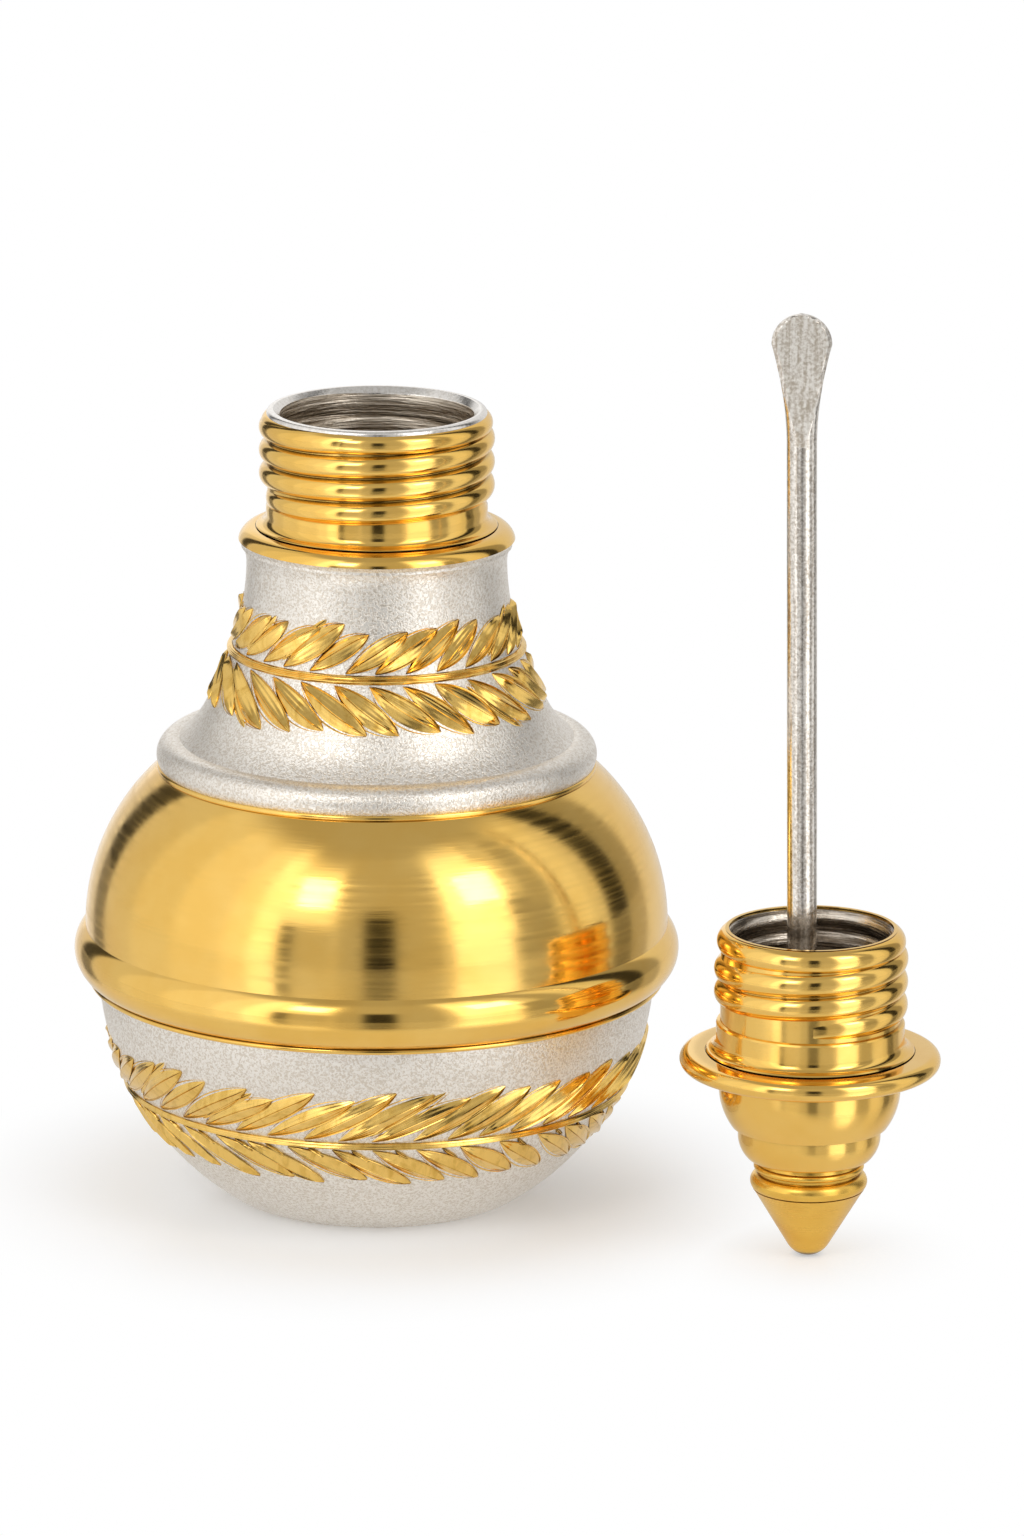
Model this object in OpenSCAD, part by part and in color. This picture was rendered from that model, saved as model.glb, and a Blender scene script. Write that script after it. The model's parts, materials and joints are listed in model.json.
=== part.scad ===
// Kohl container: a screw-necked bottle raised from silver and gilt shells,
// with its screw stopper taken out and stood on its finial beside it.

/* [Bowl and foot] */
// Radius of the spherical lower bowl, outside
bowl_r = 25.1; // [24:0.05:26.5]
// Radius of the flat foot that the bowl stands on
foot_r = 12.8; // [11:0.1:15]
// Thickness of the raised shells
shell_wall = 1; // [0.8:0.1:1.3]
// Thickness of the disc that closes the foot
base_t = 1; // [0.8:0.1:2]

/* [Dome and belt] */
// How far the dome's widest place stands out past the bowl
dome_step = 1.15; // [0.9:0.05:1.3]
// Radius of the dome's arc
dome_arc_r = 19.05; // [18.5:0.05:20]
// Height of the dome's widest place above the belt
dome_rise = 2.2; // [1.8:0.1:2.6]
// Height of the dome's upper edge above its widest place
dome_h = 15.9; // [15:0.1:16.8]
// Height of the belt above the middle of the bowl
belt_rise = 1.3; // [0.8:0.1:2]
// Radius of the belt's rounded bead
belt_bead_r = 2.85; // [2.6:0.05:3.2]
// How far the belt stands out past the dome
belt_step = 1; // [0.8:0.05:1.4]

/* [Bell] */
// Radius of the roll along the bell's lip
lip_bead_r = 1.7; // [1.6:0.05:2]
// How far the middle of the roll stands out past the dome's upper edge
lip_overhang = 0.4; // [0.2:0.05:0.5]
// How far the middle of the roll lies below the dome's upper edge
lip_drop = 0.15; // [0.05:0.05:0.3]
// How far inside the middle of the roll the flare begins
crease_step = 0.95; // [0.5:0.05:1.2]
// Height of the waist above the middle of the roll
waist_rise = 17.7; // [16.5:0.1:19]
// How far the waist stands out past the neck's sleeve
waist_step = 1.75; // [1.4:0.05:2]
// How quickly the flare opens, 1 for a straight cone
flare_bend = 1.9; // [1.5:0.05:2.2]
// Height of the cove from the waist up to the collar
cove_h = 1.4; // [1.1:0.1:2]

/* [Neck] */
// How far the collar stands out past the sleeve
collar_step = 2.5; // [2.3:0.05:2.9]
// Radius of the collar's rounded bead
collar_bead_r = 1.45; // [1.3:0.05:1.5]
// Height of the middle of the bead above the bell's shoulder
collar_rise = 0.35; // [0.2:0.05:0.6]
// Length of the neck from the collar to the mouth rim
neck_l = 10.65; // [10.2:0.05:13]
// Thickness of the neck's gilt sleeve
sleeve_t = 0.65; // [0.5:0.05:0.8]
// Thickness of the mouth's silver lining
lining_wall = 0.6; // [0.5:0.05:0.8]
// Thickness of the silver rim
rim_t = 0.4; // [0.3:0.05:0.6]
// How far the rim stands out past the sleeve
rim_step = 0.4; // [0.3:0.05:0.45]
// Width of the bevel inside the rim
bevel_w = 0.6; // [0.4:0.05:0.65]
// Depth of the bevel inside the rim
bevel_d = 0.55; // [0.3:0.05:0.7]
// Radius of the bead at the top of the sleeve
top_bead_r = 0.45; // [0.42:0.01:0.5]
// How wide the foot of a sleeve spreads over the ring that it passes through
foot_flare = 0.9; // [0.5:0.05:1]

/* [Screw thread] */
// Height gained in one turn, the same on the neck, in the mouth and on the plug
thread_pitch = 2.1; // [2:0.05:2.2]
// Height of the neck's ridge
neck_thread_h = 0.65; // [0.5:0.05:0.7]
// Turns of thread on the neck
neck_turns = 3.3; // [2.5:0.05:3.3]
// How far below the rim the neck's ridge ends
neck_thread_end = 0.6; // [0.6:0.05:0.9]
// Height of the plug's ridge
plug_thread_h = 0.6; // [0.5:0.05:0.65]
// Turns of thread on the plug
plug_turns = 2.5; // [2:0.05:2.65]
// How far below the end of the plug its ridge begins
plug_thread_start = 7.35; // [7.2:0.05:7.7]
// Room between the plug's crests and the wall of the mouth
thread_clearance = 0.05; // [0.05:0.05:0.15]
// Height of the ridge inside the mouth
mouth_thread_h = 0.25; // [0.2:0.01:0.27]
// Turns of thread in the mouth
mouth_turns = 4.5; // [3.5:0.25:4.75]
// How far below the rim the mouth's ridge ends
mouth_thread_end = 1.1; // [1:0.05:1.4]

/* [Stopper] */
// Free space between the belt and the flange of the stopper beside it
stopper_gap = 4.6; // [1:0.05:30]
// How far round to the front the stopper stands, in degrees
stopper_angle = 27.2; // [0:0.2:80]
// Radius of the plug's sleeve under its thread
plug_root_r = 8; // [7.8:0.05:8.2]
// Length of the plug that enters the neck
plug_l = 11.15; // [10.9:0.05:11.4]
// How far the plain part below the thread stands out past its root
plug_plain_step = 0.35; // [0.2:0.05:0.5]
// Height of the plain part above the flange
plug_plain_h = 2.7; // [2:0.1:2.9]
// Thickness of the plug's gilt sleeve
plug_wall = 0.5; // [0.4:0.05:0.6]
// Thickness of the plug's silver lining
plug_lining_t = 0.3; // [0.25:0.05:0.4]
// How far the rolled lip at the end of the plug stands out past its root
plug_lip_step = 0.35; // [0.2:0.05:0.38]
// Radius of the roll along that lip
plug_lip_bead_r = 1.15; // [0.9:0.05:1.2]
// Thickness of the flange
flange_t = 1.65; // [1.5:0.05:2]
// How far the flange stands out past the mouth rim
flange_step = 1.26; // [0.9:0.02:2]

/* [Finial] */
// Radius of the upper cup
cup_r = 8.05; // [7.5:0.05:8.2]
// Height of the upper cup
cup_h = 5.16; // [4.8:0.02:5.6]
// Radius of the upper cup's rounding
cup_round_r = 6; // [5:0.1:7]
// How far the ledge under the flange stands out past the upper cup
ledge_step = 0.4; // [0.2:0.05:0.6]
// Thickness of that ledge
ledge_t = 0.75; // [0.4:0.05:1]
// Radius of the lower cup
cup2_r = 6.33; // [6:0.01:6.5]
// Height of the lower cup
cup2_h = 2.95; // [2.8:0.05:3.2]
// Radius of the lower cup's rounding
cup2_round_r = 2.8; // [2.6:0.05:3.2]
// Radius of the finial's throat
throat_r = 4.55; // [4.2:0.05:4.8]
// Height of the lower cup above the middle of the bead
throat_l = 2.52; // [2.3:0.02:2.8]
// Radius of the bead above the cone, outside
bead_r = 5.2; // [5:0.05:5.4]
// Radius of the bead's rounding
bead_round_r = 0.9; // [0.7:0.05:1]
// Height of the middle of the bead above the cone's edge
bead_rise = 0.83; // [0.7:0.01:0.9]
// Radius of the cone at its top
cone_r = 4.95; // [4.8:0.05:5.1]
// Height of the cone
cone_h = 5.79; // [5.5:0.01:6.3]
// Radius of the cone's rounded point
tip_r = 2.15; // [1.5:0.05:2.3]

/* [Kohl stick] */
// Diameter of the stick's rod
stick_d = 2.65; // [2:0.05:3]
// Length of the stick from its socket to its tip
stick_l = 67.65; // [50:0.05:68.5]
// Width of the flattened tip
paddle_w = 5.3; // [3.6:0.1:6]
// Length of the flattened tip
paddle_l = 11.6; // [8:0.2:16]
// Thickness of the tip at its end
paddle_t = 0.9; // [0.6:0.1:1.4]
// How far the soldered stick stands off the stopper's axis
stick_offset = 0.7; // [0:0.1:1]
// Lean of the stick, in degrees
stick_lean = 0.65; // [0:0.05:0.8]
// Thickness of the plug's floor
socket_t = 1.2; // [1:0.1:1.5]
// Wall of the boss round the stick's foot
boss_wall = 0.9; // [0.6:0.1:1.2]
// Height of the boss above the plug's floor
boss_h = 1.8; // [1:0.1:2.5]
// How deep the stick's foot is let into the floor
socket_depth = 0.8; // [0.5:0.1:0.9]

/* [Garlands] */
// Height of the upper garland's stem above the middle of the bell's lip
upper_stem_rise = 10.05; // [9.5:0.05:10.5]
// Leaves in the upper garland's upward row
upper_upward_leaves = 28; // [18:1:29]
// Leaves in the upper garland's downward row
upper_downward_leaves = 26; // [18:1:28]
// Length of an upper leaf
upper_leaf_l = 7.3; // [5:0.1:7.6]
// Width of an upper leaf
upper_leaf_w = 1.6; // [1.2:0.05:1.65]
// How far the lower garland's stem lies below the middle of the bowl
lower_stem_drop = 11; // [10:0.1:11.5]
// Leaves in the lower garland's upward row
lower_upward_leaves = 44; // [24:1:45]
// Leaves in the lower garland's downward row
lower_downward_leaves = 36; // [24:1:37]
// Length of a lower leaf
lower_leaf_l = 9.2; // [6:0.1:9.6]
// Width of a lower leaf
lower_leaf_w = 1.55; // [1.2:0.05:1.6]
// Slope of the leaves against their stem, in degrees
leaf_slope = 32; // [30:1:40]
// Height of a leaf's edges above the shell
leaf_edge_h = 0.1; // [0.05:0.05:0.2]
// Height of a leaf's crease above the shell
leaf_crease_h = 0.42; // [0.3:0.02:0.6]
// Radius of the stem's wire
stem_wire_r = 0.4; // [0.3:0.05:0.5]
// Radius of the wire that the bell is seated on
seat_wire_r = 0.4; // [0.3:0.05:0.5]
// How deep that wire is pressed into the bell's lip
seat_wire_bite = 0.33; // [0.2:0.01:0.4]
// How deep that wire is soldered into the dome
seat_wire_bed = 0.33; // [0.2:0.01:0.38]

/* [Hidden] */
$fn = 96;

gold = "#d9a441";
leaf_gold = "#cf9738";
silver = "#cbc8c1";
stick_silver = "#b9b5ae";

// Screw: radii from the plug outwards
plug_crest_r = plug_root_r + plug_thread_h;
plug_lip_r = plug_root_r + plug_lip_step;
plug_plain_r = plug_root_r + plug_plain_step;
plug_inner_r = plug_root_r - plug_wall;
plug_bore_r = plug_inner_r - plug_lining_t;
mouth_root_r = plug_crest_r + thread_clearance;
mouth_crest_r = mouth_root_r - mouth_thread_h;
lining_r = mouth_root_r + lining_wall;
sleeve_r = lining_r + sleeve_t;
neck_crest_r = sleeve_r + neck_thread_h;
rim_r = sleeve_r + rim_step;
rim_edge_r = rim_t / 2;

// Bottle: radii and heights from the foot upwards
bowl_z = sqrt(bowl_r * bowl_r - foot_r * foot_r);
belt_z = bowl_z + belt_rise;
dome_r = bowl_r + dome_step;
dome_axis_r = dome_r - dome_arc_r;
dome_z = belt_z + dome_rise;
dome_top_z = dome_z + dome_h;
dome_top_r = dome_axis_r + sqrt(dome_arc_r * dome_arc_r - dome_h * dome_h);
belt_axis_r = dome_r + belt_step - belt_bead_r;
lip_r = dome_top_r + lip_overhang;
lip_z = dome_top_z - lip_drop;
flare_r = lip_r - crease_step;
flare_bite = 0.05;
crease_z = lip_z + sqrt(lip_bead_r * lip_bead_r - crease_step * crease_step) - flare_bite;
waist_r = sleeve_r + waist_step;
waist_z = lip_z + waist_rise;
shoulder_z = waist_z + cove_h;
shoulder_under_z = shoulder_z - shell_wall;
collar_r = sleeve_r + collar_step;
collar_axis_r = collar_r - collar_bead_r;
collar_z = shoulder_z + collar_rise;
collar_top_z = collar_z + collar_bead_r;
foot_edge = 0.2;
cove_inset = 0.15;
cove_r = collar_r - cove_inset;
mouth_z = collar_top_z + neck_l;
sleeve_top_z = mouth_z - rim_t;

// The seat wire's middle, where a circle round the lip's roll meets one round the dome's arc
from_lip = lip_bead_r + seat_wire_r - seat_wire_bite;
from_dome = dome_arc_r + seat_wire_r - seat_wire_bed;
lip_way = [lip_r - dome_axis_r, lip_z - dome_z];
lip_reach = norm(lip_way);
along_way = (pow(from_dome, 2) - pow(from_lip, 2) + pow(lip_reach, 2)) / (2 * lip_reach);
off_way = sqrt(pow(from_dome, 2) - pow(along_way, 2));
seat_wire_at = dome_axis_r + (lip_way[0] * along_way + lip_way[1] * off_way) / lip_reach;
seat_wire_z = dome_z + (lip_way[1] * along_way - lip_way[0] * off_way) / lip_reach;

// Stopper: heights from the finial's point upwards
bead_z = cone_h + bead_rise;
cup2_z = bead_z + throat_l;
cup_z = cup2_z + cup2_h;
flange_z = cup_z + cup_h;
seat_z = flange_z + flange_t;
plug_top_z = seat_z + plug_l;
plug_plain_z = seat_z + plug_plain_h;
flange_r = rim_r + flange_step;
stopper_off = dome_r + belt_step + flange_r + stopper_gap;
cup_upright = 0.25;
boss_r = stick_d / 2 + boss_wall;
stick_foot_z = flange_z + socket_t - socket_depth;
paddle_bend = 1.9;
paddle_steps = 10;

// Threads
thread_steps = 24;
thread_bite = 0.06;
ridge_share = 0.94;
ridge_points = 6;
run_out_turns = 0.2;
run_out_height = 0.06;
run_out_width = 0.4;
neck_thread_angle = 180;
mouth_thread_angle = 0;
plug_thread_angle = -90;

// Leaves
leaf_steps = 5;
leaf_gap = 0.55;
leaf_bite = 0.06;
leaf_end = 0.02;
flare_tilt = 20;
upper_stem_z = lip_z + upper_stem_rise;
lower_stem_z = bowl_z - lower_stem_drop;

// Sections reach this far from the axis
section_reach = 2 * (dome_r + belt_step);

// The part of the half plane between two heights
module band(low, high) {
    translate([0, low]) square([section_reach, high - low]);
}

module disc_at(r, z, radius) {
    translate([r, z]) circle(radius);
}

module tube_section(inner, outer, low, high) {
    translate([inner, low]) square([outer - inner, high - low]);
}

// A shell whose outside follows the outer half of a circle centred at (r, z)
module arc_shell(r, z, radius) {
    difference() {
        intersection() {
            disc_at(r, z, radius);
            tube_section(r, r + radius, z - radius, z + radius);
        }
        disc_at(r, z, radius - shell_wall);
    }
}

// A closed solid through equal rings of points
module loft(rings) {
    count = len(rings[0]);
    last = len(rings) - 1;
    points = [for (ring = rings) each ring];
    sides = [
        for (i = [0:last - 1], j = [0:count - 1])
            let (k = (j + 1) % count, a = i * count, b = a + count)
                each [[a + j, b + j, b + k], [a + j, b + k, a + k]]
    ];
    near = [[for (j = [0:count - 1]) j]];
    far = [[for (j = [count - 1:-1:0]) last * count + j]];
    polyhedron(points, concat(sides, near, far));
}

// Height of a ridge of arc section at s, from -1 at one valley to 1 at the next
function ridge_height(s, height, half) =
    let (r = (half * half + height * height) / (2 * height))
        sqrt(r * r - s * s * half * half) - (r - height);

// A ridge wound round the axis, with its ends run out to nothing; height is negative inside a bore
module thread(root, height, turns, start_z, start_angle) {
    side = sign(height);
    half = thread_pitch * ridge_share / 2;
    stations = round(turns * thread_steps);
    loft([
        for (i = [0:stations])
            let (
                turn = turns * i / stations,
                run_out = min(1, run_out_height + min(turn, turns - turn) / run_out_turns),
                width = half * (run_out_width + (1 - run_out_width) * run_out),
                angle = start_angle + 360 * turn
            )
                [for (k = [0:ridge_points])
                    let (
                        s = side * (2 * k / ridge_points - 1),
                        rise = ridge_height(s, abs(height), half) * run_out - thread_bite,
                        r = root + side * rise
                    )
                        [r * cos(angle), r * sin(angle), start_z + thread_pitch * turn + s * width]]
    ]);
}

// Radius of the bell's flare at height z
function flare_at(z) =
    waist_r + (flare_r - waist_r) * pow(max(0, waist_z - z) / (waist_z - crease_z), flare_bend);

// A point h above the bowl or the bell, at an azimuth and v along the shell from a stem
function on_bowl(azimuth, v, h) =
    let (tilt = asin((lower_stem_z - bowl_z) / bowl_r) + v / bowl_r * 180 / PI, r = (bowl_r + h) * cos(tilt))
        [r * cos(azimuth), r * sin(azimuth), bowl_z + (bowl_r + h) * sin(tilt)];
function on_bell(azimuth, v, h) =
    let (z = upper_stem_z + v * cos(flare_tilt), r = flare_at(z) + h)
        [r * cos(azimuth), r * sin(azimuth), z + h * sin(flare_tilt)];

// Half the width of a leaf, along its length from 0 to 1
function leaf_half(t, width) = width / 2 * pow(sin(180 * pow(t, 0.85)), 0.8);

// A creased leaf on a shell; slope is positive for a leaf that rises from the stem
module leaf(place, stem_r, azimuth, length, width, slope) {
    side = sign(slope);
    turn = 180 / PI / stem_r;
    loft([
        for (i = [0:leaf_steps])
            let (
                t = leaf_end + (1 - 2 * leaf_end) * i / leaf_steps,
                s = t * length,
                half = leaf_half(t, width),
                u = s * cos(slope),
                v = side * leaf_gap + s * sin(slope),
                du = -sin(slope) * half,
                dv = cos(slope) * half,
                crease = leaf_edge_h + (leaf_crease_h - leaf_edge_h) * min(1, half / width * 3)
            )
                [
                    place(azimuth + (u + du) * turn, v + dv, leaf_edge_h),
                    place(azimuth + (u + du) * turn, v + dv, -leaf_bite),
                    place(azimuth + (u - du) * turn, v - dv, -leaf_bite),
                    place(azimuth + (u - du) * turn, v - dv, leaf_edge_h),
                    place(azimuth + u * turn, v, crease)
                ]
    ]);
}

module leaf_row(place, stem_r, count, length, width, slope) {
    for (i = [0:count - 1])
        leaf(place, stem_r, i * 360 / count, length, width, slope);
}

on_bowl_place = function(azimuth, v, h) on_bowl(azimuth, v, h);
on_bell_place = function(azimuth, v, h) on_bell(azimuth, v, h);
lower_stem_r = sqrt(bowl_r * bowl_r - pow(lower_stem_z - bowl_z, 2));
upper_stem_r = flare_at(upper_stem_z);

module base_disc() {
    color(silver) rotate_extrude() intersection() {
        disc_at(0, bowl_z, bowl_r - shell_wall);
        band(0, base_t);
    }
}

module lower_bowl() {
    color(silver) rotate_extrude() intersection() {
        arc_shell(0, bowl_z, bowl_r);
        band(0, belt_z);
    }
}

module stem(r, z) {
    color(leaf_gold) rotate_extrude() translate([r, z]) circle(stem_wire_r, $fn = 24);
}

module lower_stem() stem(lower_stem_r, lower_stem_z);
module upper_stem() stem(upper_stem_r, upper_stem_z);

module lower_leaves_upward() {
    color(leaf_gold)
        leaf_row(on_bowl_place, lower_stem_r, lower_upward_leaves, lower_leaf_l, lower_leaf_w, leaf_slope);
}

module lower_leaves_downward() {
    color(leaf_gold)
        leaf_row(on_bowl_place, lower_stem_r, lower_downward_leaves, lower_leaf_l, lower_leaf_w, -leaf_slope);
}

module upper_leaves_upward() {
    color(leaf_gold)
        leaf_row(on_bell_place, upper_stem_r, upper_upward_leaves, upper_leaf_l, upper_leaf_w, leaf_slope);
}

module upper_leaves_downward() {
    color(leaf_gold)
        leaf_row(on_bell_place, upper_stem_r, upper_downward_leaves, upper_leaf_l, upper_leaf_w, -leaf_slope);
}

module belt_ring() {
    color(gold) rotate_extrude() difference() {
        disc_at(belt_axis_r, belt_z, belt_bead_r);
        intersection() {
            disc_at(dome_axis_r, dome_z, dome_arc_r);
            band(belt_z, dome_top_z);
        }
        intersection() {
            disc_at(0, bowl_z, bowl_r);
            band(0, belt_z);
        }
    }
}

module gilt_dome() {
    color(gold) rotate_extrude() intersection() {
        arc_shell(dome_axis_r, dome_z, dome_arc_r);
        band(belt_z, dome_top_z);
    }
}

module bell_seat_wire() {
    color(gold) rotate_extrude() disc_at(seat_wire_at, seat_wire_z, seat_wire_r);
}

flare_steps = 20;
cove_steps = 4;
module bell_section() {
    heights = [for (i = [0:flare_steps]) crease_z + (waist_z - crease_z) * i / flare_steps];
    outside = [for (z = heights) [flare_at(z), z]];
    cove = [
        for (i = [1:cove_steps])
            let (t = i / cove_steps)
                [waist_r + (cove_r - waist_r) * t * t, waist_z + cove_h * t]
    ];
    inside = [for (i = [flare_steps:-1:0]) [flare_at(heights[i]) - shell_wall, min(heights[i], shoulder_under_z)]];
    polygon(concat(
        [[flare_r, lip_z]], outside, cove,
        [[sleeve_r, shoulder_z], [sleeve_r, shoulder_under_z], [waist_r - shell_wall, shoulder_under_z]],
        inside, [[flare_r - shell_wall, lip_z - lip_bead_r]]
    ));
}

module bell() {
    color(silver) rotate_extrude() difference() {
        union() {
            bell_section();
            disc_at(lip_r, lip_z, lip_bead_r);
        }
        disc_at(dome_axis_r, dome_z, dome_arc_r);
        tube_section(0, flare_r - shell_wall, 0, crease_z - shell_wall);
    }
}

module collar_ring() {
    color(gold) rotate_extrude() intersection() {
        union() {
            disc_at(collar_axis_r, collar_z, collar_bead_r);
            tube_section(sleeve_r, collar_axis_r, shoulder_z, collar_top_z);
        }
        tube_section(sleeve_r, collar_r, shoulder_z, collar_top_z);
    }
}

// The foot that a sleeve spreads over the ring that it passes through
module foot_section(outer, foot) {
    fillet_z = foot + foot_flare + foot_edge;
    difference() {
        tube_section(outer, outer + foot_flare, foot, fillet_z);
        disc_at(outer + foot_flare, fillet_z, foot_flare);
    }
}
module neck_sleeve() {
    color(gold) rotate_extrude() {
        tube_section(lining_r, sleeve_r, shoulder_under_z, sleeve_top_z);
        foot_section(sleeve_r, collar_top_z);
        disc_at(rim_r - top_bead_r, sleeve_top_z - top_bead_r, top_bead_r);
    }
}

module neck_thread() {
    start_z = sleeve_top_z - neck_thread_end - neck_turns * thread_pitch;
    color(gold) thread(sleeve_r, neck_thread_h, neck_turns, start_z, neck_thread_angle);
}

module mouth_lining() {
    color(silver) rotate_extrude() difference() {
        union() {
            tube_section(mouth_root_r, lining_r, shoulder_under_z, mouth_z);
            tube_section(mouth_root_r, rim_r - rim_edge_r, sleeve_top_z, mouth_z);
            disc_at(rim_r - rim_edge_r, mouth_z - rim_edge_r, rim_edge_r);
        }
        polygon([
            [mouth_root_r - bevel_w, mouth_z - bevel_d], [mouth_root_r, mouth_z - bevel_d],
            [mouth_root_r + 2 * bevel_w, mouth_z + bevel_d], [mouth_root_r - bevel_w, mouth_z + bevel_d]
        ]);
    }
}

module mouth_thread() {
    start_z = mouth_z - mouth_thread_end - mouth_turns * thread_pitch;
    color(silver) thread(mouth_root_r, -mouth_thread_h, mouth_turns, start_z, mouth_thread_angle);
}

// Moves what is drawn on the stopper's own axis to where the stopper stands
module stopper_place() {
    translate([stopper_off * cos(stopper_angle), -stopper_off * sin(stopper_angle), 0]) children();
}

module flange_ring() {
    edge_r = flange_t / 2;
    color(gold) stopper_place() rotate_extrude() {
        tube_section(plug_root_r, flange_r - edge_r, flange_z, seat_z);
        disc_at(flange_r - edge_r, seat_z - edge_r, edge_r);
    }
}

module plug_sleeve() {
    lip_axis_r = plug_lip_r - plug_lip_bead_r;
    lip_axis_z = plug_top_z - plug_lip_bead_r;
    color(gold) stopper_place() rotate_extrude() {
        tube_section(plug_inner_r, plug_root_r, flange_z, lip_axis_z);
        tube_section(plug_inner_r, plug_plain_r, seat_z, plug_plain_z);
        foot_section(plug_plain_r, seat_z);
        intersection() {
            disc_at(lip_axis_r, lip_axis_z, plug_lip_bead_r);
            tube_section(plug_inner_r, plug_lip_r, seat_z, plug_top_z);
        }
    }
}

module plug_thread() {
    color(gold) stopper_place()
        thread(plug_root_r, plug_thread_h, plug_turns, plug_top_z - plug_thread_start, plug_thread_angle);
}

module plug_lining() {
    color(silver) stopper_place() rotate_extrude()
        tube_section(plug_bore_r, plug_inner_r, flange_z + socket_t, plug_top_z - plug_lining_t);
}

// Moves what is drawn on the stick's own axis to where the stick stands
module stick_place() {
    stopper_place() translate([-stick_offset, 0, stick_foot_z]) rotate([0, -stick_lean, 0]) children();
}

module stick_socket() {
    color(silver) difference() {
        union() {
            stopper_place() translate([0, 0, flange_z]) cylinder(h = socket_t, r = plug_inner_r);
            stopper_place() translate([-stick_offset, 0, flange_z]) cylinder(h = socket_t + boss_h, r = boss_r);
        }
        stick_place() cylinder(h = socket_depth + 2 * boss_h, d = stick_d);
    }
}

// Half the section of a cup that is upright above and rounds in below
module cup_section(radius, round_r, low, high) {
    round_z = high - cup_upright * (high - low);
    difference() {
        tube_section(0, radius, low, high);
        difference() {
            tube_section(radius - round_r, section_reach, low - round_r, round_z);
            disc_at(radius - round_r, round_z, round_r);
        }
    }
}

module finial_cup() {
    color(gold) stopper_place() rotate_extrude() {
        cup_section(cup_r, cup_round_r, cup_z, flange_z);
        tube_section(0, cup_r + ledge_step, flange_z - ledge_t, flange_z);
    }
}

module finial_lower_cup() {
    color(gold) stopper_place() rotate_extrude() cup_section(cup2_r, cup2_round_r, cup2_z, cup_z);
}

// Where the cone's side leaves the rounded point, as an angle up from level
point_reach = norm([cone_r, cone_h - tip_r]);
point_angle = atan2(cone_h - tip_r, cone_r) - acos(tip_r / point_reach);

module finial_point() {
    tangent_r = tip_r * cos(point_angle);
    tangent_z = tip_r * (1 + sin(point_angle));
    color(gold) stopper_place() rotate_extrude() {
        tube_section(0, throat_r, cone_h, cup2_z);
        disc_at(bead_r - bead_round_r, bead_z, bead_round_r);
        polygon([[0, tangent_z], [tangent_r, tangent_z], [cone_r, cone_h], [0, cone_h]]);
        intersection() {
            disc_at(0, tip_r, tip_r);
            band(0, tangent_z);
        }
    }
}

// Half the paddle's width, with t from 0 at its root to 1 at the centre of its round end
function paddle_half(t) = stick_d / 2 + (paddle_w - stick_d) / 2 * pow(t, paddle_bend);

module paddle_outline() {
    round_z = stick_l - paddle_w / 2;
    root_z = stick_l - paddle_l;
    steps = [for (i = [0:paddle_steps]) i / paddle_steps];
    polygon(concat(
        [for (t = steps) [paddle_half(t), root_z + (round_z - root_z) * t]],
        [for (t = steps) [-paddle_half(1 - t), round_z - (round_z - root_z) * t]]
    ));
    disc_at(0, round_z, paddle_w / 2);
}

module kohl_stick() {
    root_z = stick_l - paddle_l;
    flat_z = stick_l - paddle_w;
    half = stick_d / 2;
    color(stick_silver) stick_place() {
        cylinder(h = root_z, r = half);
        intersection() {
            rotate([90, 0, 0]) translate([0, 0, -half]) linear_extrude(stick_d) paddle_outline();
            rotate([90, 0, 90]) translate([0, 0, -paddle_w]) linear_extrude(2 * paddle_w)
                polygon([
                    [-half, root_z - half], [half, root_z - half], [half, root_z], [paddle_t / 2, flat_z],
                    [paddle_t / 2, stick_l], [-paddle_t / 2, stick_l], [-paddle_t / 2, flat_z], [-half, root_z]
                ]);
        }
    }
}

base_disc();
lower_bowl();
lower_stem();
lower_leaves_upward();
lower_leaves_downward();
belt_ring();
gilt_dome();
bell_seat_wire();
bell();
upper_stem();
upper_leaves_upward();
upper_leaves_downward();
collar_ring();
neck_sleeve();
neck_thread();
mouth_lining();
mouth_thread();
flange_ring();
plug_sleeve();
plug_thread();
plug_lining();
stick_socket();
finial_cup();
finial_lower_cup();
finial_point();
kohl_stick();
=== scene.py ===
import json
import math
import random

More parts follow.
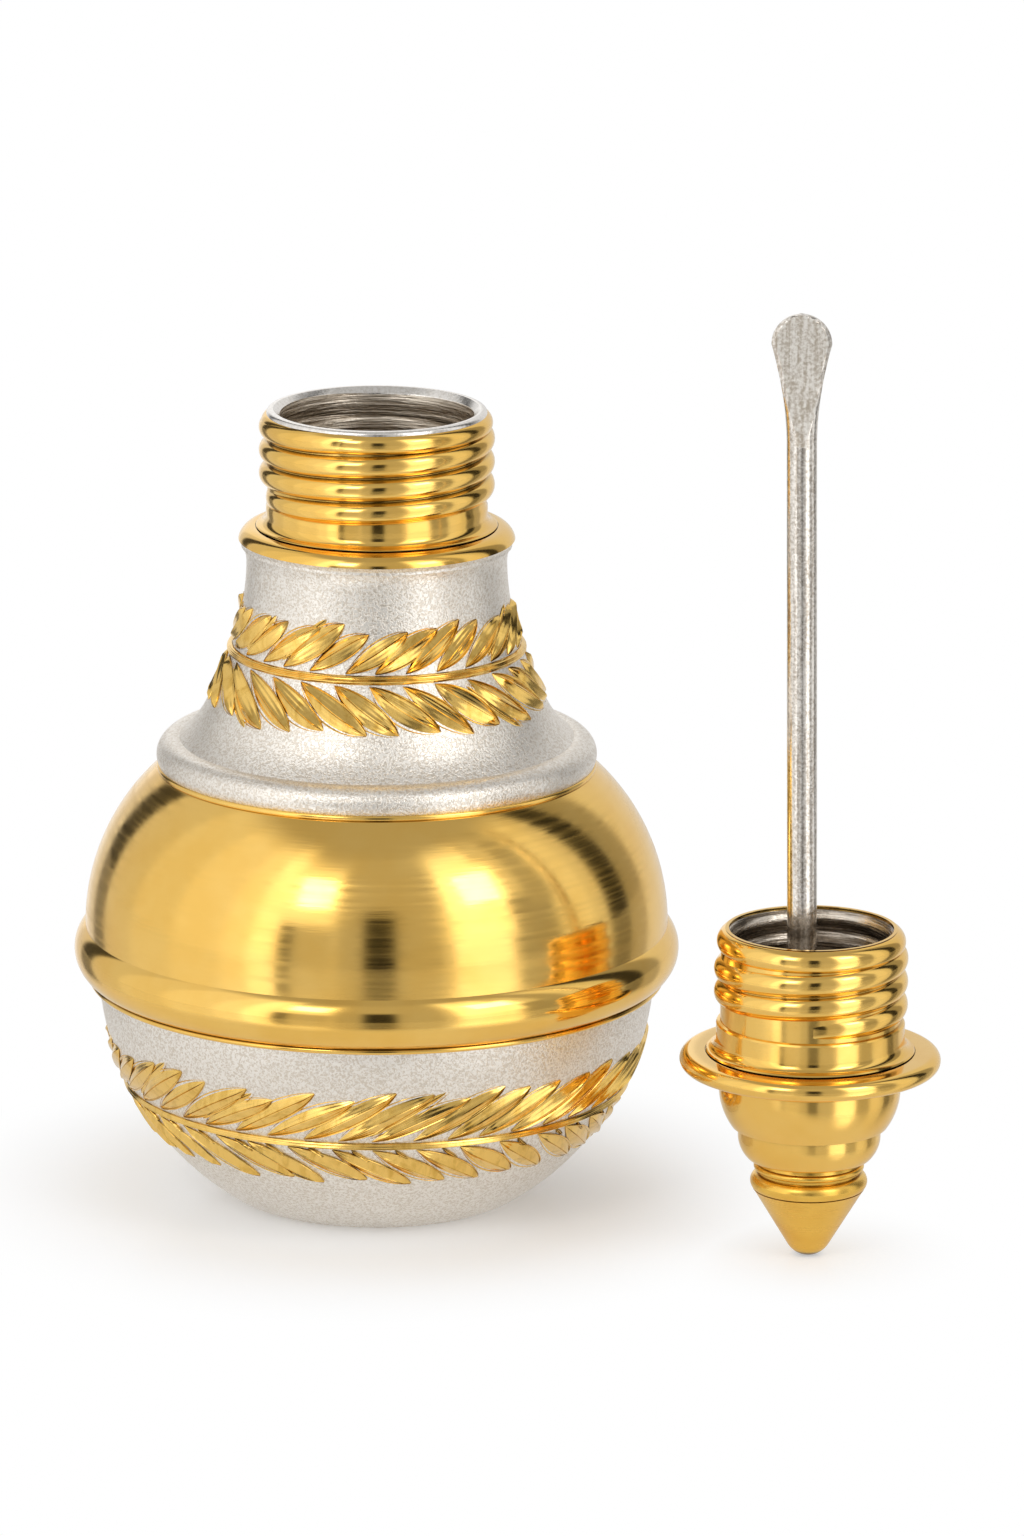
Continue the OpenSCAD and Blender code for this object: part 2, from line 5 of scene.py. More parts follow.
import bpy
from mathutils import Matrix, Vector

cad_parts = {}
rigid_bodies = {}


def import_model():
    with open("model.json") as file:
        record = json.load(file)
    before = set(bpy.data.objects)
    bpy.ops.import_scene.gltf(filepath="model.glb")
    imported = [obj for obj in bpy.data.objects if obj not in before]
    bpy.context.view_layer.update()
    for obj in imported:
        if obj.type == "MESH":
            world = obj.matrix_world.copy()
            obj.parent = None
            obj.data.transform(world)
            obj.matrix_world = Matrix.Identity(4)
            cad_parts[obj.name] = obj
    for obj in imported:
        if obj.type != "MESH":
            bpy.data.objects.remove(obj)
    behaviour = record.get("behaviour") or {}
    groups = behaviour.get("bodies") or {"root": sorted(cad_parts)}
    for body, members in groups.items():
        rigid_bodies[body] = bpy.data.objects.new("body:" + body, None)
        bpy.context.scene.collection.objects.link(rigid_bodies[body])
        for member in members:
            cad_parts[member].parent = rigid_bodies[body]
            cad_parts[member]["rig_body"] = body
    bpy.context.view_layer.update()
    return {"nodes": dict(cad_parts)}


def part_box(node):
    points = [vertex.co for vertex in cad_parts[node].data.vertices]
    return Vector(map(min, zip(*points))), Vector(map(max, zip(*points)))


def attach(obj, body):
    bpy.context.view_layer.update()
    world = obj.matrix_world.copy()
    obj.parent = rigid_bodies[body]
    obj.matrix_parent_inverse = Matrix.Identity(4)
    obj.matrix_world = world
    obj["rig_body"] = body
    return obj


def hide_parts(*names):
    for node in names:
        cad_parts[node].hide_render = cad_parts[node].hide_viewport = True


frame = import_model()
mm = 0.001
pi = math.pi
perRadian = 180 / pi
onAxis = 1e-6  # a radius below this is a point on the axis

# A long lens that looks a little down; angles are in degrees
view = {
    "focalPixels": 10000, "imageHeight": 1536, "sensor": 36, "clipEnd": 20,
    "pitch": 14.6, "roll": 0.22, "place": (12.15 * mm, -869.4 * mm, 265.8 * mm),
}

# Sizes are in millimetres, angles in degrees, heights above the table. A value that ends in From or
# To is the angle at which an arc of the outline starts or ends.
cornersOf = {"boss": 96, "plain": 224, "neck": 256, "bowl": 320, "wide": 384}  # round a turned piece
bowl = {
    "radius": 25.1, "foot": 12.8, "wall": 1.0, "floor": 1.0, "top": 22.89,
    "footRound": 0.5, "footInset": 0.6, "footTo": -38, "footRise": 0.75,
}
dome = {"radius": 26.25, "arc": 19.05, "middle": 25.09, "base": 22.89, "top": 40.99, "wall": 1.0}
belt = {
    "radius": 27.25, "bead": 2.85, "height": 22.89, "beadFrom": -62, "beadTo": 51,
    "hem": 0.24, "hemInset": 0.02, "hemDrop": 0.8, "hemFrom": -110, "hemTo": 60,
    "backInset": 0.3, "backDrop": 0.2,
}
bell = {
    "lipRadius": 18.15, "lipHeight": 40.76, "lipBead": 1.62, "lipFrom": -62, "lipShort": 3,
    "creaseDrop": 0.05, "creaseGap": 0.06, "flare": 17.14, "kick": 0.65, "kickShare": 0.15, "bend": 1.9,
    "waist": 11.65, "waistHeight": 58.54, "shoulder": 59.94, "wall": 1.0,
    "cove": 12.35, "coveTop": 60.6, "coveEdge": 0.25,
}
seatWire = {"wire": 0.3, "inset": 0.42, "corners": 24}
collar = {"radius": 12.4, "bead": 1.45, "height": 60.29, "beadFrom": 12, "beadTo": 86}
seam = {"wide": 0.06, "slope": 0.03, "deep": 0.06}  # the fine groove round a sleeve's foot
sleeveFoot = {"edge": 0.1, "rise": 0.2, "coveFrom": -97}
neck = {
    "radius": 9.9, "bore": 9.25, "foot": 58.94, "spread": 0.9, "top": 71.99, "mouth": 72.39,
    "valley": 9.78, "valleyRise": 0.3, "bead": 10.35, "beadRound": 0.95, "beadFrom": -66, "beadTo": 62,
    "rim": 9.85, "rimRound": 0.4, "bevelWide": 0.6, "bevelDeep": 0.55, "bevelRound": 0.1,
    "bevelFrom": 88, "bevelTo": 130, "bevelSoft": 0.03, "bevelFoot": 0.08,
}
thread = {
    "pitch": 2.1, "share": 0.99, "runOut": 0.2, "tip": 0.06, "sink": 0.02,
    "rootDeep": 0.18, "rootShare": 0.5, "steps": 120, "across": 10,
    "neckHeight": 0.65, "neckTurns": 3.3, "neckEnd": 0.6, "neckFade": 0.4, "neckAngle": 180,
    "mouthWall": 8.65, "mouthHeight": 0.08, "mouthTurns": 4.5, "mouthEnd": 1.1, "mouthAngle": 0,
    "plugHeight": 0.6, "plugTurns": 2.5, "plugStart": 7.35, "plugAngle": -90,
}
plug = {
    "seat": 18.9, "top": 30.05, "root": 8.0, "wall": 0.5, "lining": 0.3, "floor": 1.2, "spread": 0.9,
    "plain": 8.35, "plainHeight": 2.7, "plainDrop": 0.15, "plainEdge": 0.1,
    "lip": 8.35, "lipBead": 1.15, "lipFrom": -46, "lipTo": 86, "innerRound": 0.12, "innerFrom": 100,
    "flange": 11.56, "flangeThick": 1.65, "flangeTo": 88,
    "wave": 0.17, "waveInset": 0.15, "waveRows": 66, "liningEdge": 0.1,
}
finial = {
    "cup": 8.05, "cupFoot": 12.09, "cupRound": 6.0, "upright": 0.33,
    "cup2": 6.33, "cup2Foot": 9.14, "cup2Round": 2.8,
    "step": 0.4, "stepHeight": 0.75, "stepRound": 0.3, "stepRise": 0.22, "stepDrop": 0.08, "stepTop": 0.02,
    "stepFrom": -80, "stepTo": 50,
    "throat": 4.55, "throatDrop": 0.5, "ringRound": 0.3, "ringInset": 0.05, "ringDrop": 0.9,
    "bead": 5.2, "beadHeight": 6.86, "beadRound": 0.84, "beadFrom": -42, "beadTo": 76,
    "cone": 4.95, "coneTop": 6.18, "coneEdge": 0.12, "coneInset": 0.1, "coneRise": 0.08, "tip": 2.15,
}
stick = {
    "rod": 2.65, "length": 67.65, "foot": 17.65, "offset": 0.7, "lean": 0.65,
    "boss": 0.9, "bossHeight": 3.0, "bossFoot": 1, "bossRound": 0.7,
    "paddleWide": 5.3, "paddleLong": 11.6, "paddleThick": 0.9, "bend": 1.9, "flatStart": 0.9,
    "bevel": 0.35, "bevelShare": 0.5, "edgeThick": 0.45, "corners": 72,
}


def around(centre, r, angle):
    return centre[0] + r * math.cos(angle), centre[1] + r * math.sin(angle)


# Outlines are lists of (radius, height), anticlockwise from the outside bottom
def arc(r, z, radius, start, end, steps):
    angles = [math.radians(start + (end - start) * i / steps) for i in range(steps + 1)]
    return [around((r, z), radius, angle) for angle in angles]


def meshObject(name, points, faces, node, smoothAngle):
    mesh = bpy.data.meshes.new(name)
    mesh.from_pydata([[c * mm for c in p] for p in points], [], faces)
    mesh.validate()
    for polygon in mesh.polygons:
        polygon.use_smooth = True
    mesh.set_sharp_from_angle(angle=math.radians(smoothAngle))
    piece = bpy.data.objects.new(name, mesh)
    bpy.context.scene.collection.objects.link(piece)
    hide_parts(node)
    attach(piece, frame["nodes"][node]["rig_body"])
    return piece


# Turns a closed outline about a vertical axis
def lathe(name, outline, node, centre=(0, 0), steps=cornersOf["plain"], smoothAngle=35):
    points, rings, faces = [], [], []
    for r, z in outline:
        if r < onAxis:
            rings.append([len(points)] * steps)
            points.append((centre[0], centre[1], z))
            continue
        rings.append(list(range(len(points), len(points) + steps)))
        for i in range(steps):
            points.append((*around(centre, r, 2 * pi * i / steps), z))
    for low, high in zip(rings, rings[1:] + rings[:1]):
        for i in range(steps):
            k = (i + 1) % steps
            corners = []
            for corner in (low[i], low[k], high[k], high[i]):
                if corner not in corners:
                    corners.append(corner)
            if len(corners) > 2:
                faces.append(corners)
    return meshObject(name, points, faces, node, smoothAngle)


# Joins equal rings of points into a closed tube with flat ends
def loft(points, faces, rings):
    base, count = len(points), len(rings[0])
    for ring in rings:
        points.extend(ring)
    for i in range(len(rings) - 1):
        for j in range(count):
            k = (j + 1) % count
            a = base + i * count
            faces.append((a + j, a + count + j, a + count + k, a + k))
    faces.append(tuple(base + j for j in range(count)))
    last = base + (len(rings) - 1) * count
    faces.append(tuple(last + j for j in reversed(range(count))))


# A screw ridge of arc section that meets its own next turn in a sharp valley. Its ends run out into
# the wall, and a negative height turns it towards the axis.
def ridge(name, node, root, height, turns, startZ, startAngle, centre=(0, 0)):
    half = thread["pitch"] * thread["share"] / 2
    side = math.copysign(1, height)
    bulge = (half ** 2 + height ** 2) / (2 * abs(height))  # radius of the ridge's arc
    stations = round(turns * thread["steps"])
    rootR, rootHalf = root - side * thread["rootDeep"], side * half * thread["rootShare"]
    rings = []
    for i in range(stations + 1):
        turn = turns * i / stations
        share = min(1, thread["tip"] + min(turn, turns - turn) / thread["runOut"])
        share = math.sin(share * pi / 2)
        angle = math.radians(startAngle) + 2 * pi * turn
        ring = []
        for k in range(thread["across"] + 1):
            s = side * (2 * k / thread["across"] - 1)
            rise = (math.sqrt(bulge ** 2 - (s * half) ** 2) - bulge + abs(height)) * share - thread["sink"]
            ring.append((root + side * rise, s * half * (1 + share) / 2))
        ring += [(rootR, rootHalf), (rootR, -rootHalf)]
        z = startZ + thread["pitch"] * turn
        rings.append([(*around(centre, r, angle), z + up) for r, up in ring])
    points, faces = [], []
    loft(points, faces, rings)
    return meshObject(name, points, faces, node, smoothAngle=50)


# Bottle
bowlZ = math.sqrt(bowl["radius"] ** 2 - bowl["foot"] ** 2)
domeAxis = dome["radius"] - dome["arc"]


def sphereAngle(z, radius):
    return math.degrees(math.asin((z - bowlZ) / radius))


def domeAngle(z, radius):
    return math.degrees(math.asin((z - dome["middle"]) / radius))


def buildBowl():
    outer, inner, edge = bowl["radius"], bowl["radius"] - bowl["wall"], bowl["footRound"]
    low, top = sphereAngle(edge * bowl["footRise"], outer), sphereAngle(bowl["top"], outer)
    outline = arc(bowl["foot"] - edge * bowl["footInset"], edge, edge, -90, bowl["footTo"], steps=6)
    outline += arc(0, bowlZ, outer, low, top, steps=48)
    outline += arc(0, bowlZ, inner, sphereAngle(bowl["top"], inner), sphereAngle(0, inner), steps=30)
    return lathe("lowerBowl", outline, "lower_bowl", steps=cornersOf["bowl"])


def buildBase():
    inner, top = bowl["radius"] - bowl["wall"], bowl["floor"]
    edge = arc(0, bowlZ, inner, sphereAngle(0, inner), sphereAngle(top, inner), steps=4)
    return lathe("baseDisc", [(0, 0)] + edge + [(0, top)], "base_disc")


def buildDome():
    base, top, middle = dome["base"], dome["top"], dome["middle"]
    outer, inner = dome["arc"], dome["arc"] - dome["wall"]
    outline = arc(domeAxis, middle, outer, domeAngle(base, outer), domeAngle(top, outer), steps=56)
    outline += arc(domeAxis, middle, inner, domeAngle(top, inner), domeAngle(base, inner), steps=30)
    return lathe("giltDome", outline, "gilt_dome", steps=cornersOf["wide"])


# A half round bead with a fine hem below it
def buildBelt():
    hem, beadR = belt["hem"], belt["radius"] - belt["bead"]
    bead = arc(beadR, belt["height"], belt["bead"], belt["beadFrom"], belt["beadTo"], steps=40)
    hemR, hemZ = bead[0][0] - belt["hemInset"], bead[0][1] - hem * belt["hemDrop"]
    foot = arc(hemR, hemZ, hem, belt["hemFrom"], belt["hemTo"], steps=10)
    backR = bowl["radius"] - belt["backInset"]
    back = [(backR, bead[-1][1] - belt["backDrop"]), (backR, foot[0][1])]
    return lathe("beltRing", foot + bead + back, "belt_ring", steps=cornersOf["wide"], smoothAngle=28)


# Where the lip's bead meets the flare
def creaseHeight():
    inset = bell["lipRadius"] - bell["flare"] - bell["kick"]
    return bell["lipHeight"] + math.sqrt(bell["lipBead"] ** 2 - inset ** 2) - bell["creaseDrop"]


# The flare's curve, which kicks out a little further just above the lip
def flareAt(z):
    crease = creaseHeight()
    share = max(0, bell["waistHeight"] - z) / (bell["waistHeight"] - crease)
    kick = bell["kick"] * max(0, (share - 1) / bell["kickShare"] + 1) ** 2
    return bell["waist"] + (bell["flare"] - bell["waist"]) * share ** bell["bend"] + kick


def buildBell():
    crease, gap, lipR, lipZ = creaseHeight(), bell["creaseGap"], bell["lipRadius"], bell["lipHeight"]
    creaseAngle = math.degrees(math.atan2(crease - lipZ, bell["flare"] + bell["kick"] - lipR))
    lip = arc(lipR, lipZ, bell["lipBead"], bell["lipFrom"], creaseAngle - bell["lipShort"], steps=32)
    rise, steps = bell["waistHeight"] - crease, 48
    flare = [(flareAt(z), z) for z in [crease + gap + (rise - gap) * i / steps for i in range(steps + 1)]]
    cove, steps = [], 12
    for i in range(1, steps + 1):
        t = i / steps
        coveR = bell["waist"] + (bell["cove"] - bell["waist"]) * t ** 2
        cove.append((coveR, bell["waistHeight"] + (bell["coveTop"] - bell["waistHeight"]) * t))
    edge, bore, shoulder = bell["cove"] - bell["coveEdge"], neck["radius"], bell["shoulder"]
    under = shoulder - bell["wall"]
    hole = [(edge, bell["coveTop"]), (edge, shoulder), (bore, shoulder), (bore, under)]
    lining = [(r - bell["wall"], min(z, under)) for r, z in reversed(flare)]
    outline = lip + flare + cove + hole + lining + [(bell["flare"] - bell["wall"], lipZ)]
    return lathe("bell", outline, "bell", steps=cornersOf["wide"], smoothAngle=25)


def buildSeatWire():
    low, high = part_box("bell_seat_wire")
    middle, z = high.x / mm - seatWire["inset"], (low.z + high.z) / 2 / mm
    steps = seatWire["corners"] - 1
    outline = arc(middle, z, seatWire["wire"], 0, 360 - 360 / seatWire["corners"], steps)
    return lathe("bellSeatWire", outline, "bell_seat_wire", steps=cornersOf["bowl"])


# The groove round the foot of a sleeve, in the top of the ring that the sleeve passes through
def seamOutline(radius, top, bore):
    low = top - seam["deep"]
    return [(radius + seam["wide"], top), (radius + seam["slope"], low), (bore, low)]


def buildCollar():
    bead, z, bore = collar["bead"], collar["height"], neck["radius"]
    outline = arc(collar["radius"] - bead, z, bead, collar["beadFrom"], collar["beadTo"], steps=24)
    outline += seamOutline(bore + neck["spread"], z + bead, bore) + [(bore, bell["shoulder"])]
    return lathe("collarRing", outline, "collar_ring", steps=cornersOf["neck"])


# The foot that a sleeve spreads over the ring that it passes through
def footOutline(outer, foot, spread):
    edge, wide = sleeveFoot["edge"], outer + spread
    cove = arc(wide, foot + spread + sleeveFoot["rise"], spread, sleeveFoot["coveFrom"], -180, steps=12)
    return [(wide - edge, foot), (wide, foot + edge)] + cove


def buildSleeve():
    outer, top, bead = neck["radius"], collar["height"] + collar["bead"], neck["beadRound"]
    threadLong = (thread["neckTurns"] + thread["neckFade"]) * thread["pitch"]
    threadFoot = neck["top"] - thread["neckEnd"] - threadLong
    beadZ = neck["top"] - bead * math.sin(math.radians(neck["beadTo"]))
    outline = [(neck["bore"], neck["foot"]), (outer, neck["foot"]), (outer, top)]
    outline += footOutline(outer, top, neck["spread"])
    outline += [(outer, threadFoot), (neck["valley"], threadFoot + neck["valleyRise"])]
    outline += arc(neck["bead"] - bead, beadZ, bead, neck["beadFrom"], neck["beadTo"], steps=20)
    outline += [(neck["bore"], neck["top"])]
    return lathe("neckSleeve", outline, "neck_sleeve", steps=cornersOf["neck"])


def buildNeckThread():
    turns, root = thread["neckTurns"], neck["valley"]
    start = neck["top"] - thread["neckEnd"] - turns * thread["pitch"]
    height = neck["radius"] + thread["neckHeight"] - root
    return ridge("neckThread", "neck_thread", root, height, turns, start, thread["neckAngle"])


def buildLining():
    wall, top, rounding = thread["mouthWall"], neck["mouth"], neck["rimRound"]
    edge, soft, low = neck["bevelRound"], neck["bevelSoft"], top - neck["bevelDeep"]
    outline = [(neck["bore"], neck["foot"]), (neck["bore"], neck["top"])]
    outline += arc(neck["rim"] - rounding, top - rounding, rounding, 0, 90, steps=12)
    outline += arc(wall + neck["bevelWide"], top - edge, edge, neck["bevelFrom"], neck["bevelTo"], steps=4)
    outline += [(wall + soft, low + soft), (wall, low - neck["bevelFoot"]), (wall, neck["foot"])]
    return lathe("mouthLining", outline, "mouth_lining", steps=cornersOf["neck"], smoothAngle=24)


def buildMouthThread():
    wall, height, turns = thread["mouthWall"], -thread["mouthHeight"], thread["mouthTurns"]
    start = neck["mouth"] - thread["mouthEnd"] - turns * thread["pitch"]
    return ridge("mouthThread", "mouth_thread", wall, height, turns, start, thread["mouthAngle"])


# Stopper
flangeLow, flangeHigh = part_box("flange_ring")
stopperAxis = tuple((flangeLow[i] + flangeHigh[i]) / 2 / mm for i in (0, 1))
flangeZ = plug["seat"] - plug["flangeThick"]


def stopperLathe(name, outline, node, corners="neck", smoothAngle=35):
    return lathe(name, outline, node, stopperAxis, cornersOf[corners], smoothAngle)


def buildFlange():
    edge, root = plug["flangeThick"] / 2, plug["root"]
    outline = [(root, flangeZ)]
    outline += arc(plug["flange"] - edge, flangeZ + edge, edge, -90, plug["flangeTo"], steps=24)
    outline += seamOutline(plug["plain"] + plug["spread"], plug["seat"], root)
    return stopperLathe("flangeRing", outline, "flange_ring")


def buildPlugSleeve():
    inner, outer, plain = plug["root"] - plug["wall"], plug["root"], plug["plain"]
    seat, top, plainTop = plug["seat"], plug["top"], plug["seat"] + plug["plainHeight"]
    edge, lip, rounding = plug["plainEdge"], plug["lipBead"], plug["innerRound"]
    outline = [(inner, flangeZ), (outer, flangeZ), (outer, seat)] + footOutline(plain, seat, plug["spread"])
    outline += [(plain, plainTop - plug["plainDrop"]), (plain - edge, plainTop), (outer, plainTop + edge)]
    outline += arc(plug["lip"] - lip, top - lip, lip, plug["lipFrom"], plug["lipTo"], steps=24)
    outline += arc(inner + rounding, top - rounding, rounding, plug["innerFrom"], 180, steps=4)
    return stopperLathe("plugSleeve", outline, "plug_sleeve", smoothAngle=28)


def buildPlugThread():
    start, turns = plug["top"] - thread["plugStart"], thread["plugTurns"]
    height, angle = thread["plugHeight"], thread["plugAngle"]
    return ridge("plugThread", "plug_thread", plug["root"], height, turns, start, angle, stopperAxis)


# The lining shows the thread from behind, as shallow waves
def buildPlugLining():
    outer, edge, rows = plug["root"] - plug["wall"], plug["liningEdge"], plug["waveRows"]
    inner = outer - plug["lining"]
    low, high = flangeZ + plug["floor"], plug["top"] - plug["lining"]
    outline = [(outer, low), (outer, high), (inner + edge, high), (inner, high - edge)]
    for i in range(1, rows):
        z = high - edge - (high - edge - low) * i / rows
        wave = plug["wave"] * math.sin(2 * pi * z / thread["pitch"])
        outline.append((inner + wave - plug["waveInset"], z))
    outline.append((inner, low))
    return stopperLathe("plugLining", outline, "plug_lining", corners="plain")


def buildSocket():
    floorR, floorTop = plug["root"] - plug["wall"], flangeZ + plug["floor"]
    plugFloor = [(0, flangeZ), (floorR, flangeZ), (floorR, floorTop), (0, floorTop)]
    boss, rounding = stick["rod"] / 2 + stick["boss"], stick["bossRound"]
    foot, top = flangeZ + stick["bossFoot"], flangeZ + stick["bossHeight"]
    edge = arc(boss - rounding, top - rounding, rounding, 0, 90, steps=8)
    raised = [(0, foot), (boss, foot)] + edge + [(0, top)]
    bossAxis = (stopperAxis[0] - stick["offset"], stopperAxis[1])
    return [
        stopperLathe("plugFloor", plugFloor, "stick_socket", corners="plain"),
        lathe("stickBoss", raised, "stick_socket", bossAxis, steps=cornersOf["boss"]),
    ]


# The side of a cup that is upright above and rounds in below
def cupSide(radius, rounding, low, high):
    middle = high - finial["upright"] * (high - low)
    bottom = -math.degrees(math.asin((middle - low) / rounding))
    return arc(radius - rounding, middle, rounding, bottom, 0, steps=22)


def buildCup():
    cup, foot, step = finial["cup"], finial["cupFoot"], flangeZ - finial["stepHeight"]
    rounding = finial["stepRound"]
    stepR, stepZ = cup + finial["step"] - rounding, step + finial["stepRise"]
    outline = [(0, foot)] + cupSide(cup, finial["cupRound"], foot, flangeZ)
    outline += [(cup, step - finial["stepDrop"])]
    outline += arc(stepR, stepZ, rounding, finial["stepFrom"], finial["stepTo"], steps=8)
    outline += [(cup + finial["stepTop"], flangeZ), (0, flangeZ)]
    return stopperLathe("finialCup", outline, "finial_cup", smoothAngle=28)


def buildLowerCup():
    cup, foot, top = finial["cup2"], finial["cup2Foot"], finial["cupFoot"]
    outline = [(0, foot)] + cupSide(cup, finial["cup2Round"], foot, top) + [(cup, top), (0, top)]
    return stopperLathe("finialLowerCup", outline, "finial_lower_cup", smoothAngle=28)


# A cone on a rounded tip, then a bead, a fine ring and the throat
def buildPoint():
    tip, cone, top = finial["tip"], finial["cone"], finial["coneTop"]
    throat, high = finial["throat"], finial["cup2Foot"]
    reach = math.hypot(cone, top - tip)
    leave = math.degrees(math.atan2(top - tip, cone) - math.acos(tip / reach))
    bead, edge = finial["beadRound"], finial["coneEdge"]
    outline = [(0, 0)] + arc(0, tip, tip, -90, leave, steps=16)[1:]
    outline += [(cone - finial["coneInset"], top - edge), (cone, top)]
    outline += [(cone - edge, top + finial["coneRise"])]
    beadR, ringR = finial["bead"] - bead, throat + finial["ringInset"]
    outline += arc(beadR, finial["beadHeight"], bead, finial["beadFrom"], finial["beadTo"], steps=18)
    outline += arc(ringR, high - finial["ringDrop"], finial["ringRound"], -90, 90, steps=10)
    outline += [(throat, high - finial["throatDrop"]), (throat, high), (0, high)]
    return stopperLathe("finialPoint", outline, "finial_point", smoothAngle=30)


# Half sizes of the stick at a height: how broad it is and how thick
def stickSection(z):
    half, wide = stick["rod"] / 2, stick["paddleWide"] / 2
    root, roundZ = stick["length"] - stick["paddleLong"], stick["length"] - wide
    flat = stick["length"] - stick["paddleWide"]
    narrowest = 1e-4
    if z <= root:
        return half, half
    flatRoot = root + stick["flatStart"]
    share = min(1, max(0, z - flatRoot) / (flat - flatRoot))
    thick = half + (stick["paddleThick"] / 2 - half) * share
    if z <= roundZ:
        return half + (wide - half) * ((z - root) / (roundZ - root)) ** stick["bend"], thick
    return math.sqrt(max(narrowest, wide ** 2 - (z - roundZ) ** 2)), thick


# The paddle's section is the rod cut by two flats, with a narrow bevel along its edges
def stickRing(z):
    broad, thick = stickSection(z)
    bevel = min(stick["bevel"], broad * stick["bevelShare"])
    cut = z > stick["length"] - stick["paddleLong"] + stick["flatStart"]
    ring = []
    for i in range(stick["corners"]):
        a = 2 * pi * i / stick["corners"]
        x = broad * math.cos(a)
        y = max(stick["rod"] / 2, broad) * math.sin(a)
        inner = min(1, (broad - abs(x)) / bevel)
        limit = thick * (stick["edgeThick"] + (1 - stick["edgeThick"]) * inner) if cut else thick
        ring.append((x, math.copysign(min(abs(y), limit), y)))
    return ring


def buildStick():
    root, wide = stick["length"] - stick["paddleLong"], stick["paddleWide"] / 2
    roundZ = stick["length"] - wide
    lean = math.radians(stick["lean"])
    rodSteps, paddleSteps, roundSteps, firstStep = 8, 32, 24, 0.02
    levels = [root * i / rodSteps for i in range(rodSteps + 1)]
    levels += [root + firstStep]
    levels += [root + (roundZ - root) * i / paddleSteps for i in range(1, paddleSteps + 1)]
    levels += [roundZ + wide * math.sin(pi / 2 * i / roundSteps) for i in range(1, roundSteps + 1)]
    rings = []
    for z in levels:
        shift = stick["offset"] + z * math.sin(lean)
        up = stick["foot"] + z * math.cos(lean)
        rings.append([(stopperAxis[0] - shift + x, stopperAxis[1] + y, up) for x, y in stickRing(z)][::-1])
    points, faces = [], []
    loft(points, faces, rings)
    return meshObject("kohlStick", points, faces, "kohl_stick", smoothAngle=22)


# Garlands: "extra" and "buds" are the chances of a leaf underneath and of a small one between
garlands = {
    "upperUp": {
        "leaves": 28, "long": 7.4, "wide": 2.35, "slope": 35, "peak": 1.0,
        "extra": 0.3, "buds": 0, "seed": 7,
    },
    "upperDown": {
        "leaves": 27, "long": 7.8, "wide": 2.45, "slope": -38, "peak": 1.0,
        "extra": 0.25, "buds": 0, "seed": 9,
    },
    "lowerUp": {
        "leaves": 44, "long": 9.4, "wide": 2.25, "slope": 30, "peak": 0.8,
        "extra": 0.1, "buds": 0, "seed": 3,
    },
    "lowerDown": {
        "leaves": 36, "long": 8.6, "wide": 2.4, "slope": -31, "peak": 0.8,
        "extra": 0, "buds": 0.75, "seed": 5,
    },
}
uneven = {
    "turn": (-0.09, 0.09), "long": (0.9, 1.05), "wide": (0.88, 1.06), "slope": (-3.5, 3.5),
    "peak": (0.85, 1.05), "bend": (-0.1, 0.45), "lift": (-0.03, 0.03),
}
underLeaf = {"lean": (5, 9), "back": 0.6, "long": 0.93, "wide": 0.8, "peak": 0.2, "lift": -0.08, "gap": 0.7}
bud = {
    "ahead": (1.6, 2.4), "long": (1.6, 2.4), "wide": 0.5, "lean": -8, "peak": 0.2, "lift": 0, "gap": 0.35,
}
stems = {
    "upper": {"height": 50.65, "half": 0.43, "rise": 0.38},
    "lower": {"height": 10.6, "half": 0.36, "rise": 0.34},
}
stemForm = {"steps": 384, "across": 18, "ripple": 0.2, "ridges": 3, "rootShare": 0.8, "rootDeep": 0.2}
bellSlope = {"along": 0.94, "out": 0.34}  # cosine and sine of the flare's slope at the upper garland
leafForm = {
    "gap": 0.5, "crease": 0.5, "rim": 0.12, "edge": 0.06, "rimPlace": 0.94, "dipPlace": 0.84, "hollow": 1.1,
    "groove": 0.09, "grooveHalf": 0.06, "stroke": 0.014, "strokes": 2.5,
    "tip": 0.01, "fullest": 1.12, "plump": 0.8, "bodyGain": 2.4, "bodyBend": 0.7, "curve": 0.5,
    "tipHeight": 0.5, "tilt": 0.05, "rootHalf": 0.96, "rootDeep": 0.25, "steps": 20,
    "across": (0, 0.07, 0.14, 0.24, 0.34, 0.44, 0.54, 0.64, 0.74, 0.84, 0.89, 0.94, 0.98, 1),
}


def onBowl(turn, v, h):
    tilt = math.asin((stems["lower"]["height"] - bowlZ) / bowl["radius"]) + v / bowl["radius"]
    r = (bowl["radius"] + h) * math.cos(tilt)
    return (r * math.cos(turn), r * math.sin(turn), bowlZ + (bowl["radius"] + h) * math.sin(tilt))


def onBell(turn, v, h):
    z = stems["upper"]["height"] + v * bellSlope["along"]
    r = flareAt(z) + h * bellSlope["along"]
    return (r * math.cos(turn), r * math.sin(turn), z + h * bellSlope["out"])


# Height over a leaf's width: an engraved vein, facets with faint strokes and a raised rim
def leafHeight(w, body, peak):
    w, dip, rim = abs(w), leafForm["dipPlace"], leafForm["rimPlace"]
    if w <= dip:
        share = (1 - w / dip) ** leafForm["hollow"]
        vein = leafForm["groove"] * max(0, 1 - w / leafForm["grooveHalf"])
        stroke = leafForm["stroke"] * math.sin(2 * pi * leafForm["strokes"] * w / dip)
        return (peak * share - vein + stroke) * body
    if w <= rim:
        return leafForm["rim"] * math.sin((w - dip) / (rim - dip) * pi / 2)
    return leafForm["rim"] + (leafForm["edge"] - leafForm["rim"]) * ((w - rim) / (1 - rim)) ** 2


